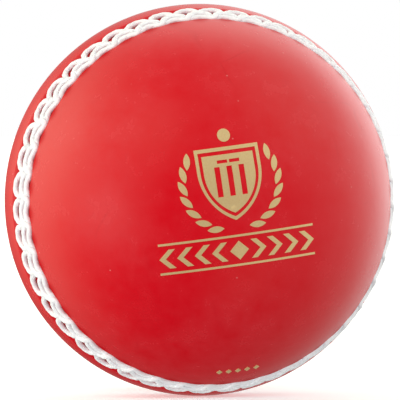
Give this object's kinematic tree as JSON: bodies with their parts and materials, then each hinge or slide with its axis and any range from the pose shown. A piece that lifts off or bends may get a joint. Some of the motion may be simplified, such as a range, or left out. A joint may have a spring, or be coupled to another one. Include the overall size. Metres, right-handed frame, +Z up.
{
  "type": "cricket ball",
  "caption": "Red moulded training cricket ball: two plastic cups over a core, joined at a raised seam with white stitching on both sides and gold foil on one dome.",
  "frame": {"origin": "centre of the ball", "axes": "Y runs through the poles of the two cups, with the foil crest on the pole at -Y and the joint in the plane Y = 0; +Z is up for the crest"},
  "size_m": [0.0724, 0.0715, 0.0724],
  "materials": {
    "core_rubber": "matt cork and rubber composition, pressed",
    "red_plastic": "glossy soft PVC, moulded",
    "white_thread": "thick twisted white sewing thread, waxed",
    "gold_foil": "pale gold hot-stamped foil, satin with a fine grain"
  },
  "bodies": {
    "root": {"core": "core_rubber", "front_cup": "red_plastic", "back_cup": "red_plastic", "front_chain": "white_thread", "front_loops": "white_thread", "back_loops": "white_thread", "back_chain": "white_thread", "seam_lacing": "white_thread", "crest_rim": "gold_foil", "crest_plate": "gold_foil", "crest_sprays": "gold_foil", "foil_band": "gold_foil", "foil_small_row": "gold_foil"}
  },
  "joints": []
}
